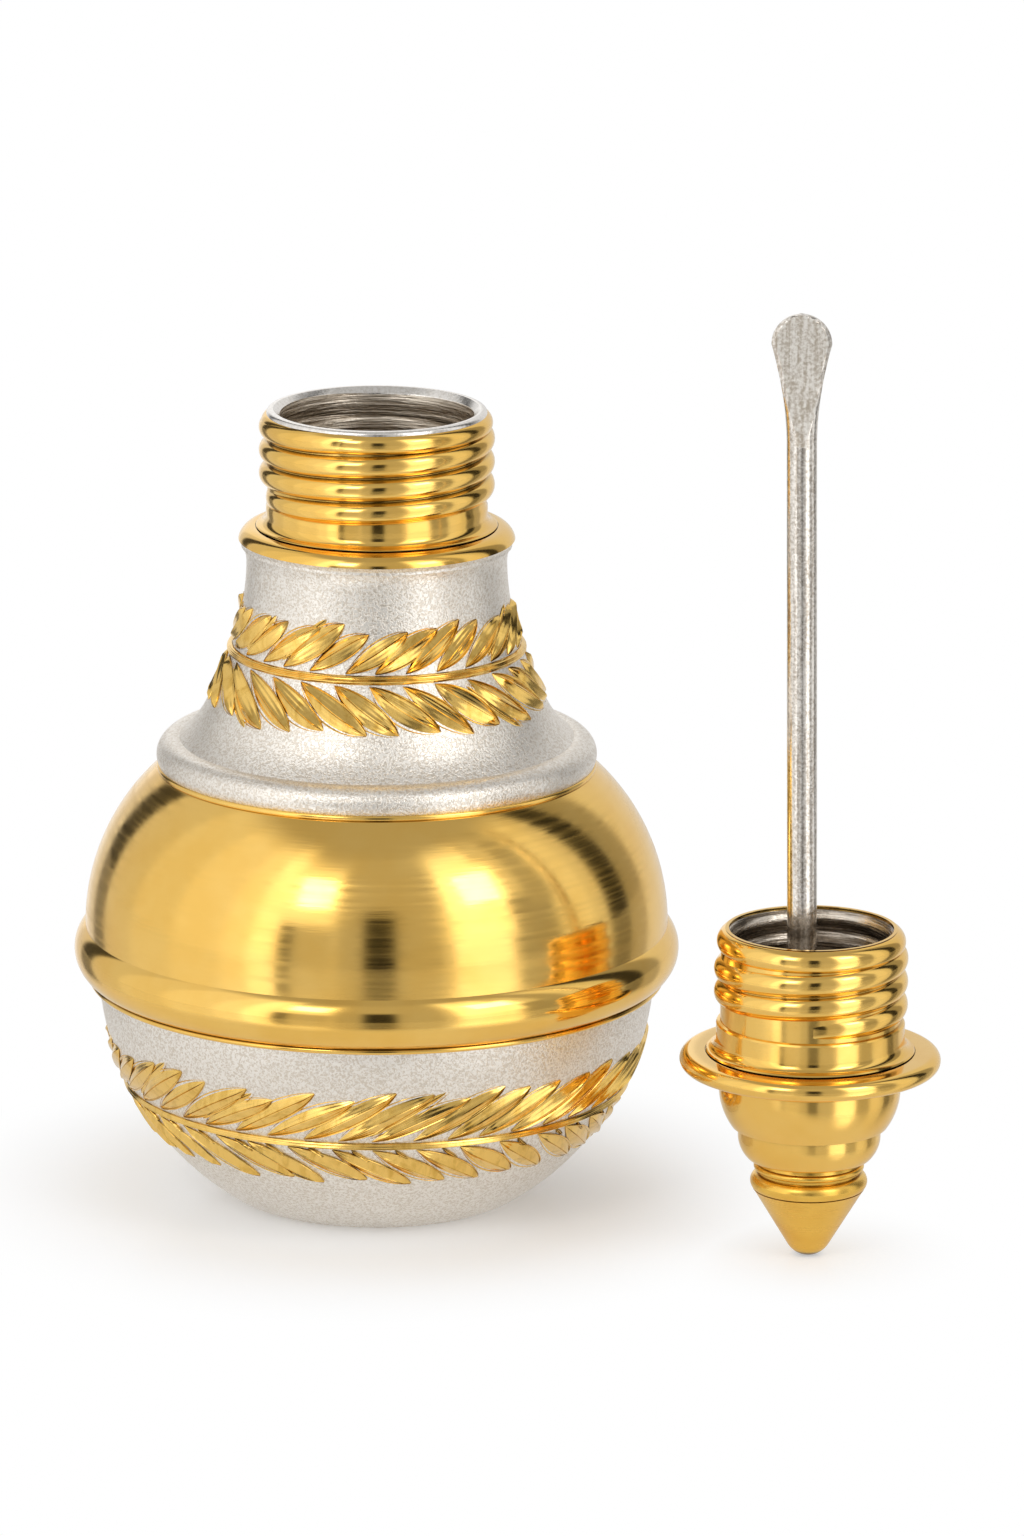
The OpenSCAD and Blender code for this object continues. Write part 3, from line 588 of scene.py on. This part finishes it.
# A leaf runs from the stem at the given slope; u is along the stem and v is up along the shell
def addLeaf(points, faces, place, stemRadius, turn, length, width, slope, peak, lift, gap, bend):
    side = math.copysign(1, slope)
    angle = math.radians(slope)
    across = [-w for w in reversed(leafForm["across"])] + list(leafForm["across"][1:])
    rings = []
    for i in range(leafForm["steps"] + 1):
        t = leafForm["tip"] + (1 - 2 * leafForm["tip"]) * i / leafForm["steps"]
        lens = 4 * t ** leafForm["fullest"] * (1 - t ** leafForm["fullest"])
        half = width / 2 * lens ** leafForm["plump"]
        body = min(1, lens * leafForm["bodyGain"]) ** leafForm["bodyBend"]
        height = min(1, leafForm["tipHeight"] + lens)
        tilt = -leafForm["tilt"] * side * body
        section = [(w, leafHeight(w, body, peak) * height + tilt * w + lift) for w in across]
        section += [(w, -leafForm["rootDeep"]) for w in (leafForm["rootHalf"], -leafForm["rootHalf"])]
        ring = []
        for w, h in section:
            off = w * half + bend * lens * leafForm["curve"]
            u = t * length * math.cos(angle) - off * math.sin(angle)
            v = side * gap + t * length * math.sin(angle) + off * math.cos(angle)
            ring.append(place(turn + u / stemRadius, v, h))
        rings.append(ring)
    loft(points, faces, rings)


def buildLeaves(name, node, place, row):
    rng = random.Random(row["seed"])
    stemRadius = math.hypot(*place(0, 0, 0)[:2])
    side = math.copysign(1, row["slope"])
    points, faces = [], []

    def add(*leaf):
        addLeaf(points, faces, place, stemRadius, *leaf)

    for i in range(row["leaves"]):
        turn = 2 * pi * (i + rng.uniform(*uneven["turn"])) / row["leaves"]
        length = row["long"] * rng.uniform(*uneven["long"])
        width = row["wide"] * rng.uniform(*uneven["wide"])
        slope = row["slope"] + rng.uniform(*uneven["slope"])
        peak = leafForm["crease"] * row["peak"] * rng.uniform(*uneven["peak"])
        bend = rng.uniform(*uneven["bend"]) * side
        lift = rng.uniform(*uneven["lift"])
        add(turn, length, width, slope, peak, lift, leafForm["gap"], bend)
        if rng.random() < row["extra"]:
            lean = slope + side * rng.uniform(*underLeaf["lean"])
            start = turn - underLeaf["back"] / stemRadius
            long, wide = length * underLeaf["long"], width * underLeaf["wide"]
            add(start, long, wide, lean, underLeaf["peak"], underLeaf["lift"], underLeaf["gap"], bend)
        if rng.random() < row["buds"]:
            start = turn + rng.uniform(*bud["ahead"]) / stemRadius
            long, lean = rng.uniform(*bud["long"]), row["slope"] + bud["lean"]
            add(start, long, bud["wide"], lean, bud["peak"], bud["lift"], bud["gap"], bend)
    return meshObject(name, points, faces, node, smoothAngle=24)


# A stem of three fine ridges
def buildStem(name, node, place, stem):
    steps, across, ripple = stemForm["steps"], stemForm["across"], stemForm["ripple"]
    root, deep = stem["half"] * stemForm["rootShare"], -stemForm["rootDeep"]
    ring = []
    for j in range(across + 1):
        u = 1 - 2 * j / across
        wave = 1 - ripple + ripple * math.cos(stemForm["ridges"] * pi * u) ** 2
        ring.append((stem["half"] * u, stem["rise"] * math.sqrt(max(0, 1 - u ** 2)) * wave))
    ring += [(-root, deep), (root, deep)]
    count = len(ring)
    points = [place(2 * pi * i / steps, v, h) for i in range(steps) for v, h in ring]
    faces = []
    for i in range(steps):
        a, b = i * count, (i + 1) % steps * count
        for j in range(count):
            k = (j + 1) % count
            faces.append((a + j, a + k, b + k, b + j))
    return meshObject(name, points, faces, node, smoothAngle=40)


# Materials: a wire is one output socket, and arithmetic on wires adds Math nodes
class Wire:
    def __init__(self, shader, socket):
        self.shader = shader
        self.socket = socket

    def __add__(self, other):
        return self.shader.math("ADD", self, other)

    def __sub__(self, other):
        return self.shader.math("SUBTRACT", self, other)

    def __rsub__(self, other):
        return self.shader.math("SUBTRACT", other, self)

    def __mul__(self, other):
        return self.shader.math("MULTIPLY", self, other)

    __radd__ = __add__
    __rmul__ = __mul__


class Shader:
    def __init__(self, tree):
        self.tree = tree
        tree.nodes.clear()

    def add(self, kind, settings=None, sockets=None, output=0):
        node = self.tree.nodes.new(kind)
        for name, value in (settings or {}).items():
            setattr(node, name, value)
        for key, value in (sockets or {}).items():
            if isinstance(value, Wire):
                self.tree.links.new(value.socket, node.inputs[key])
            else:
                node.inputs[key].default_value = value
        return Wire(self, node.outputs[output]) if node.outputs else None

    def math(self, operation, *values):
        return self.add("ShaderNodeMath", {"operation": operation}, dict(enumerate(values)))

    # A Mix node keeps its colours in sockets 6 and 7 and gives the mixed one at output 2
    def mix(self, factor, first, second):
        sockets = {0: factor, 6: opaque(first), 7: opaque(second)}
        return self.add("ShaderNodeMix", {"data_type": "RGBA"}, sockets, output=2)

    def mixShader(self, factor, first, second):
        return self.add("ShaderNodeMixShader", {}, {0: factor, 1: first, 2: second})

    def objectPlace(self):
        return self.add("ShaderNodeTexCoord", output="Object")

    def axes(self, vector):
        first = self.add("ShaderNodeSeparateXYZ", {}, {0: vector})
        return [Wire(self, socket) for socket in first.socket.node.outputs]

    def scaled(self, vector, factors):
        return self.add("ShaderNodeVectorMath", {"operation": "MULTIPLY"}, {0: vector, 1: factors})

    # Noise of one scale, or drawn out by three factors
    def noise(self, vector, scale, detail, roughness, distortion=0):
        if isinstance(scale, tuple):
            vector, scale = self.scaled(vector, scale), 1
        return self.add("ShaderNodeTexNoise", {}, {
            "Vector": vector, "Scale": scale,
            "Detail": detail, "Roughness": roughness, "Distortion": distortion,
        })

    # From 0 at low to 1 at high, with soft ends
    def ramp(self, value, low, high):
        soft = {"interpolation_type": "SMOOTHSTEP"}
        return self.add("ShaderNodeMapRange", soft, {0: value, 1: low, 2: high})

    # From 0 outside to 1 between low and high, with soft edges
    def between(self, value, low, high, soft):
        return self.ramp(value, low - soft, low + soft) * (1 - self.ramp(value, high - soft, high + soft))

    def bump(self, height, strength, distance):
        return self.add("ShaderNodeBump", {}, {
            "Strength": strength, "Distance": distance * mm, "Height": height,
        })

    def metal(self, colour, roughness, normal, stretch=0.0):
        return self.add("ShaderNodeBsdfPrincipled", {}, {
            "Base Color": colour, "Metallic": 1, "Roughness": roughness,
            "Normal": normal, "Anisotropic": stretch,
        })


def opaque(colour):
    return colour if isinstance(colour, Wire) else (*colour, 1)


def newMaterial(name, build, values):
    material = bpy.data.materials.new(name)
    material.use_nodes = True
    shader = Shader(material.node_tree)
    shader.add("ShaderNodeOutputMaterial", {}, {"Surface": build(shader, values)})
    return material


# In the gilt finishes, crevice is the colour of the painted shade in narrow places, and reach is how far
# the occlusion looks
finishes = {
    "polished": {
        "colour": (0.98, 0.63, 0.17), "deep": (0.94, 0.57, 0.13),
        "creviceShade": (0.17, 0.115, 0.035), "reach": 0.9,
        "roughness": 0.11, "brush": 0.6, "cloud": 0.05, "stretch": 0.2,
    },
    "domed": {
        "colour": (0.98, 0.625, 0.168), "deep": (0.95, 0.58, 0.135),
        "creviceShade": (0.17, 0.10, 0.022), "reach": 0.8,
        "roughness": 0.13, "brush": 2.4, "cloud": 0.07, "stretch": 0.5,
    },
    "satin": {
        "colour": (0.97, 0.615, 0.125), "deep": (0.88, 0.51, 0.09),
        "creviceShade": (0.17, 0.10, 0.022), "reach": 0.7,
        "roughness": 0.25, "brush": 1.8, "cloud": 0.12, "stretch": 0.2,
    },
    "chased": {
        "colour": (0.98, 0.645, 0.18), "deep": (0.74, 0.44, 0.085),
        "creviceShade": (0.12, 0.065, 0.013), "reach": 0.5,
        "roughness": 0.13, "grain": 0.22,
    },
    "matteSilver": {
        "colour": (0.985, 0.935, 0.86), "pit": (0.76, 0.68, 0.575), "roughness": 0.36,
    },
    "turnedSilver": {"colour": (0.95, 0.855, 0.725), "deep": (0.36, 0.29, 0.215), "roughness": 0.3},
    "innerSilver": {"colour": (0.80, 0.72, 0.62), "deep": (0.16, 0.125, 0.09), "roughness": 0.25},
    "rimSilver": {"colour": (0.97, 0.935, 0.885), "deep": (0.84, 0.79, 0.725), "roughness": 0.2},
    "paddleSilver": {"colour": (0.995, 0.955, 0.89), "deep": (0.60, 0.52, 0.42), "roughness": 0.5},
    "stickSilver": {"colour": (0.95, 0.90, 0.83), "deep": (0.50, 0.44, 0.37), "roughness": 0.20},
}
# How the painted shade in narrow places follows the occlusion: full at shut or less, none at open or more
creviceShade = {"shut": 0.2, "open": 0.82, "samples": 8}


# Painted shade: narrow places that the ambient occlusion finds get a darker colour, which stands in for the
# shade that falls there
def paintedCreviceShade(shader, colour, finish):
    reach = {"Distance": finish["reach"] * mm}
    openness = shader.add("ShaderNodeAmbientOcclusion", {"samples": creviceShade["samples"]}, reach, "AO")
    return shader.mix(shader.ramp(openness, creviceShade["shut"], creviceShade["open"]), finish["creviceShade"], colour)


# The textures: noises, the part of a noise over which the colour changes, how much of a noise goes
# into the gloss and into the height, and the bump's strength and depth
mean = 0.5  # what a noise varies about
gilt = {
    "rings": {"scale": (70, 70, 2600), "detail": 3, "roughness": 0.6},
    "cloud": {"scale": 160, "detail": 3, "roughness": 0.55},
    "scratches": {"scale": (420, 420, 5200), "detail": 2, "roughness": 0.5},
    "change": (0.35, 0.7), "ringGloss": 0.12, "scratchHeight": 0.5, "strength": 0.1, "deep": 0.02,
}
chasing = {
    "grain": {"scale": 2400, "detail": 3, "roughness": 0.6, "distortion": 0.6},
    "strokes": {"scale": (900, 900, 420), "detail": 3, "roughness": 0.65, "distortion": 0.8},
    "change": (0.42, 0.78), "grainGloss": 0.1, "strokeGloss": 0.12, "grainHeight": 0.5,
    "strength": 0.3, "deep": 0.05,
}
matting = {
    "ridges": {"scale": 4600, "detail": 1, "roughness": 0.4, "distortion": 0.9},
    "fine": {"scale": 7000, "detail": 1, "roughness": 0.5},
    "patches": {"scale": 95, "detail": 2, "roughness": 0.5},
    "change": (0.36, 0.60), "darker": 0.05, "fineGloss": 0.1, "patchGloss": 0.08, "fineHeight": 0.2,
    "strength": 0.5, "deep": 0.04,
}
turning = {
    "rings": {"scale": (110, 110, 2600), "detail": 4, "roughness": 0.65},
    "grain": {"scale": 2600, "detail": 2, "roughness": 0.5},
    "change": (0.38, 0.62), "ringGloss": 0.2, "grainHeight": 0.25, "strength": 0.7, "deep": 0.18,
}
drawing = {
    "grain": {"scale": 3400, "detail": 3, "roughness": 0.6, "distortion": 0.4},
    "lines": {"scale": (3000, 3000, 140), "detail": 2, "roughness": 0.5},
    "change": (0.35, 0.62), "grainColour": 0.6, "lineColour": 0.4, "grainGloss": 0.2, "lineHeight": 0.4,
    "strength": 0.3, "deep": 0.035,
}


# Gilt that was turned and polished: soft rings of brushing and a faint cloud in the gloss
def giltTurned(shader, finish):
    place = shader.objectPlace()
    rings = shader.noise(place, **gilt["rings"])
    cloud = shader.noise(place, **gilt["cloud"])
    scratches = shader.noise(place, **gilt["scratches"])
    colour = shader.mix(shader.ramp(cloud, *gilt["change"]), finish["colour"], finish["deep"])
    roughness = finish["roughness"] + (rings - mean) * (gilt["ringGloss"] * finish["brush"])
    roughness = roughness + (cloud - mean) * finish["cloud"]
    height = rings + scratches * gilt["scratchHeight"]
    normal = shader.bump(height, gilt["strength"] * finish["brush"], gilt["deep"])
    # The colour gets painted shade in narrow places
    return shader.metal(paintedCreviceShade(shader, colour, finish), roughness, normal, finish["stretch"])


# Gilt that was chased by hand: a grain from the tools, darker where it lies in shallow strokes
def giltChased(shader, finish):
    place = shader.objectPlace()
    grain = shader.noise(place, **chasing["grain"])
    strokes = shader.noise(place, **chasing["strokes"])
    colour = shader.mix(shader.ramp(strokes, *chasing["change"]), finish["colour"], finish["deep"])
    roughness = finish["roughness"] + (grain - mean) * chasing["grainGloss"]
    roughness = roughness + (strokes - mean) * chasing["strokeGloss"]
    height = grain * chasing["grainHeight"] + strokes
    normal = shader.bump(height, chasing["strength"] * finish["grain"], chasing["deep"])
    # The colour gets painted shade in narrow places
    return shader.metal(paintedCreviceShade(shader, colour, finish), roughness, normal)


# Silver matted with a punch: short bright ridges that wind between small darker pits
def silverMatted(shader, finish):
    place = shader.objectPlace()
    ridges = shader.noise(place, **matting["ridges"])
    fine = shader.noise(place, **matting["fine"])
    patches = shader.noise(place, **matting["patches"])
    height = shader.ramp(ridges, *matting["change"]) + fine * matting["fineHeight"]
    colour = shader.mix(height - matting["darker"], finish["pit"], finish["colour"])
    roughness = finish["roughness"] + (fine - mean) * matting["fineGloss"]
    roughness = roughness + (patches - mean) * matting["patchGloss"]
    return shader.metal(colour, roughness, shader.bump(height, matting["strength"], matting["deep"]))


# Silver scored round and round by a turning tool
def silverTurned(shader, finish):
    place = shader.objectPlace()
    rings = shader.noise(place, **turning["rings"])
    grain = shader.noise(place, **turning["grain"])
    colour = shader.mix(shader.ramp(rings, *turning["change"]), finish["deep"], finish["colour"])
    roughness = finish["roughness"] + (rings - mean) * turning["ringGloss"]
    height = rings + grain * turning["grainHeight"]
    return shader.metal(colour, roughness, shader.bump(height, turning["strength"], turning["deep"]))


# Silver drawn lengthwise, with a fine grain
def silverDrawn(shader, finish):
    place = shader.objectPlace()
    grain = shader.noise(place, **drawing["grain"])
    lines = shader.noise(place, **drawing["lines"])
    share = grain * drawing["grainColour"] + lines * drawing["lineColour"]
    colour = shader.mix(shader.ramp(share, *drawing["change"]), finish["deep"], finish["colour"])
    roughness = finish["roughness"] + (grain - mean) * drawing["grainGloss"]
    height = grain + lines * drawing["lineHeight"]
    return shader.metal(colour, roughness, shader.bump(height, drawing["strength"], drawing["deep"]))


# How each finish is made, and the slot that is listed for it
makers = {
    "polished": (giltTurned, "polished_gilt"),
    "domed": (giltTurned, "polished_gilt"),
    "satin": (giltTurned, "polished_gilt"),
    "chased": (giltChased, "chased_gilt"),
    "matteSilver": (silverMatted, "matte_silver"),
    "turnedSilver": (silverTurned, "turned_silver"),
    "innerSilver": (silverTurned, "turned_silver"),
    "rimSilver": (silverDrawn, "turned_silver"),
    "stickSilver": (silverDrawn, "stick_silver"),
    "paddleSilver": (silverDrawn, "stick_silver"),
}
materials = {}
for finishName, finishValues in finishes.items():
    materials[finishName] = newMaterial(finishName, makers[finishName][0], finishValues)


def dress(finish, *dressed):
    for piece in dressed:
        piece.data.materials.append(materials[finish])


# The rim and its bevel are polished, the wall below them is scored
def dressLining(piece):
    dress("turnedSilver", piece)
    piece.data.materials.append(materials["rimSilver"])
    margin = 0.05
    for polygon in piece.data.polygons:
        if polygon.center.z > (neck["mouth"] - neck["bevelDeep"] - margin) * mm:
            polygon.material_index = 1


# The paddle's flats are duller than the drawn rod
def dressStick(piece):
    dress("stickSilver", piece)
    piece.data.materials.append(materials["paddleSilver"])
    root = stick["foot"] + stick["length"] - stick["paddleLong"]
    facing = 0.9
    for polygon in piece.data.polygons:
        if polygon.center.z > root * mm and abs(polygon.normal.y) > facing:
            polygon.material_index = 1


print("bottle")
dress("matteSilver", buildBowl(), buildBase(), buildBell())
dress("domed", buildDome())
dress("polished", buildBelt(), buildSeatWire(), buildCollar(), buildSleeve(), buildNeckThread())
dressLining(buildLining())
dress("turnedSilver", buildMouthThread())
print("stopper")
dress("innerSilver", buildPlugLining(), *buildSocket())
dress("polished", buildFlange(), buildPlugSleeve(), buildPlugThread(), buildCup(), buildLowerCup())
dress("satin", buildPoint())
dressStick(buildStick())
print("garlands")
dress("chased", buildStem("lowerStem", "lower_stem", onBowl, stems["lower"]))
dress("chased", buildStem("upperStem", "upper_stem", onBell, stems["upper"]))
dress("chased", buildLeaves("lowerLeavesUpward", "lower_leaves_upward", onBowl, garlands["lowerUp"]))
dress("chased", buildLeaves("lowerLeavesDownward", "lower_leaves_downward", onBowl, garlands["lowerDown"]))
dress("chased", buildLeaves("upperLeavesUpward", "upper_leaves_upward", onBell, garlands["upperUp"]))
dress("chased", buildLeaves("upperLeavesDownward", "upper_leaves_downward", onBell, garlands["upperDown"]))


# Studio: the floor's distances are in metres, its other values are colours and shares
floor = {
    "size": 6.0, "colour": (0.82, 0.82, 0.82), "seen": (1.14, 1.155, 1.18),
    "white": 0.1, "farWhite": 1.0, "near": 0.015, "far": 0.042, "stopperStart": 0.026, "inMetal": 0.35,
    "polish": 0.08, "polishInMetal": 0.78, "roughness": 0.2, "mirrorNear": 0.055, "mirrorFar": 0.09,
}

# Light panels and the gaps between them, by the turn from the camera to the right and its half width.
# Low and high bound a panel's rise, and a later panel lies over the earlier ones.
panels = [
    {"turn": -172, "half": 12, "light": 1.0},
    {"turn": -142, "half": 7, "light": 0.06},
    {"turn": -122, "half": 10, "light": 0.7},
    {"turn": -100, "half": 12, "light": 0.84},
    {"turn": -75, "half": 13, "light": 0.98},
    {"turn": -56, "half": 7, "light": 1.15},
    {"turn": -45, "half": 6, "light": 1.65},
    {"turn": -28, "half": 11, "light": 0.6},
    {"turn": -36, "half": 2.8, "light": 0.15, "low": -30, "high": 21},
    {"turn": -29, "half": 12, "light": 1.35, "low": 22, "high": 53},
    {"turn": 6, "half": 21, "light": 0.52},
    {"turn": 2, "half": 6.5, "light": 0.03, "low": -20, "high": 31},
    {"turn": 44, "half": 12, "light": 1.55},
    {"turn": 47, "half": 15, "light": 1.85, "low": 12, "high": 48},
    {"turn": 69, "half": 10, "light": 0.38, "low": -8, "high": 28},
    {"turn": 78, "half": 8, "light": 0.45, "low": 20, "high": 90},
    {"turn": 92, "half": 10, "light": 0.9},
    {"turn": 103, "half": 5, "light": 0.75},
    {"turn": 114, "half": 7.5, "light": 0.03},
    {"turn": 128, "half": 7, "light": 0.35},
]
white = (1, 1, 1, 1)
room = {"light": 0.76, "ceiling": 0.46, "ceilingLow": 52, "ceilingHigh": 66, "soft": 4}


def panelLight(shader, turn, rise):
    light = room["light"]
    for panel in panels:
        left, right = panel["turn"] - panel["half"], panel["turn"] + panel["half"]
        share = shader.between(turn, left, right, room["soft"] / 2)
        if "low" in panel:
            share = share * shader.between(rise, panel["low"], panel["high"], room["soft"])
        light = light + (panel["light"] - light) * share
    return light


# The camera sees plain white behind the pieces, and the metal shows the panels
def worldShade(shader):
    x, y, z = shader.axes(shader.add("ShaderNodeTexCoord", output="Generated"))
    rise = shader.math("ARCSINE", z) * perRadian
    light = panelLight(shader, shader.math("ARCTAN2", x, y * -1) * perRadian, rise)
    above = shader.ramp(rise, room["ceilingLow"], room["ceilingHigh"])
    light = light + (room["ceiling"] - light) * above
    seen = shader.add("ShaderNodeLightPath", output="Is Camera Ray")
    strength = light * (1 - seen) + seen
    return shader.add("ShaderNodeBackground", {}, {"Color": white, "Strength": strength})


def lengthOf(shader, x, y):
    return shader.math("SQRT", x * x + y * y)


# A white table top: plain white far off, a soft shadow near the pieces, and a faint polish
def floorShade(shader, floor):
    seen = shader.add("ShaderNodeLightPath", output="Is Camera Ray")
    gloss = shader.add("ShaderNodeLightPath", output="Is Glossy Ray")
    through = shader.add("ShaderNodeLightPath", output="Is Transmission Ray")
    x, y, _ = shader.axes(shader.objectPlace())
    distance = lengthOf(shader, x, y)
    fromStopper = lengthOf(shader, x - stopperAxis[0] * mm, y - stopperAxis[1] * mm) + floor["stopperStart"]
    away = shader.ramp(shader.math("MINIMUM", distance, fromStopper), floor["near"], floor["far"])
    colour = shader.mix(seen, floor["colour"], floor["seen"])
    plain = shader.add("ShaderNodeBsdfDiffuse", {}, {"Color": colour})
    lit = shader.add("ShaderNodeEmission", {}, {"Color": white, "Strength": 1})
    polish = shader.add("ShaderNodeBsdfAnisotropic", {}, {"Color": white, "Roughness": floor["roughness"]})
    plainWhite = floor["white"] + (floor["farWhite"] - floor["white"]) * away
    table = shader.mixShader(seen * plainWhite + (gloss + through) * floor["inMetal"], plain, lit)
    mirrored = seen * (1 - away) * floor["polish"]
    mirroredFar = shader.ramp(distance, floor["mirrorNear"], floor["mirrorFar"])
    mirrored = mirrored + gloss * mirroredFar * floor["polishInMetal"]
    return shader.mixShader(mirrored, table, polish)


def buildFloor():
    mesh = bpy.data.meshes.new("floor")
    half = floor["size"] / 2
    corners = [(-half, -half, 0), (half, -half, 0), (half, half, 0), (-half, half, 0)]
    mesh.from_pydata(corners, [], [(0, 1, 2, 3)])
    plane = bpy.data.objects.new("floor", mesh)
    bpy.context.scene.collection.objects.link(plane)
    plane.data.materials.append(newMaterial("floorWhite", floorShade, floor))


def buildWorld():
    world = bpy.data.worlds.new("studio")
    world.use_nodes = True
    bpy.context.scene.world = world
    shader = Shader(world.node_tree)
    shader.add("ShaderNodeOutputWorld", {}, {"Surface": worldShade(shader)})


# Soft boxes: turn from the camera to the right and rise in degrees, size in metres, power in watts
lamps = [
    {"name": "leftBox", "turn": -28, "rise": 38, "size": (0.20, 0.24), "power": 0.5},
    {"name": "rightBox", "turn": 48, "rise": 37, "size": (0.22, 0.24), "power": 0.45},
]
lampAim = {"place": (0.01, 0, 0.035), "distance": 0.9}


def buildLamps():
    for spec in lamps:
        data = bpy.data.lights.new(spec["name"], "AREA")
        data.shape = "RECTANGLE"
        data.size, data.size_y = spec["size"]
        data.energy = spec["power"]
        lamp = bpy.data.objects.new(spec["name"], data)
        turn, rise = math.radians(spec["turn"]), math.radians(spec["rise"])
        way = Vector((math.sin(turn) * math.cos(rise), -math.cos(turn) * math.cos(rise), math.sin(rise)))
        lamp.location = Vector(lampAim["place"]) + way * lampAim["distance"]
        lamp.rotation_euler = way.to_track_quat("Z", "Y").to_euler()
        bpy.context.scene.collection.objects.link(lamp)


def buildCamera():
    data = bpy.data.cameras.new("camera")
    data.sensor_fit = "VERTICAL"
    data.sensor_height = view["sensor"]
    data.lens = view["sensor"] * view["focalPixels"] / view["imageHeight"]
    data.clip_end = view["clipEnd"]
    camera = bpy.data.objects.new("camera", data)
    camera.location = view["place"]
    camera.rotation_mode = "ZYX"
    camera.rotation_euler = (math.radians(90 - view["pitch"]), 0, math.radians(view["roll"]))
    bpy.context.scene.collection.objects.link(camera)
    bpy.context.scene.camera = camera


print("studio")
buildFloor()
buildWorld()
buildLamps()
buildCamera()
bpy.context.scene.view_settings.view_transform = "Standard"
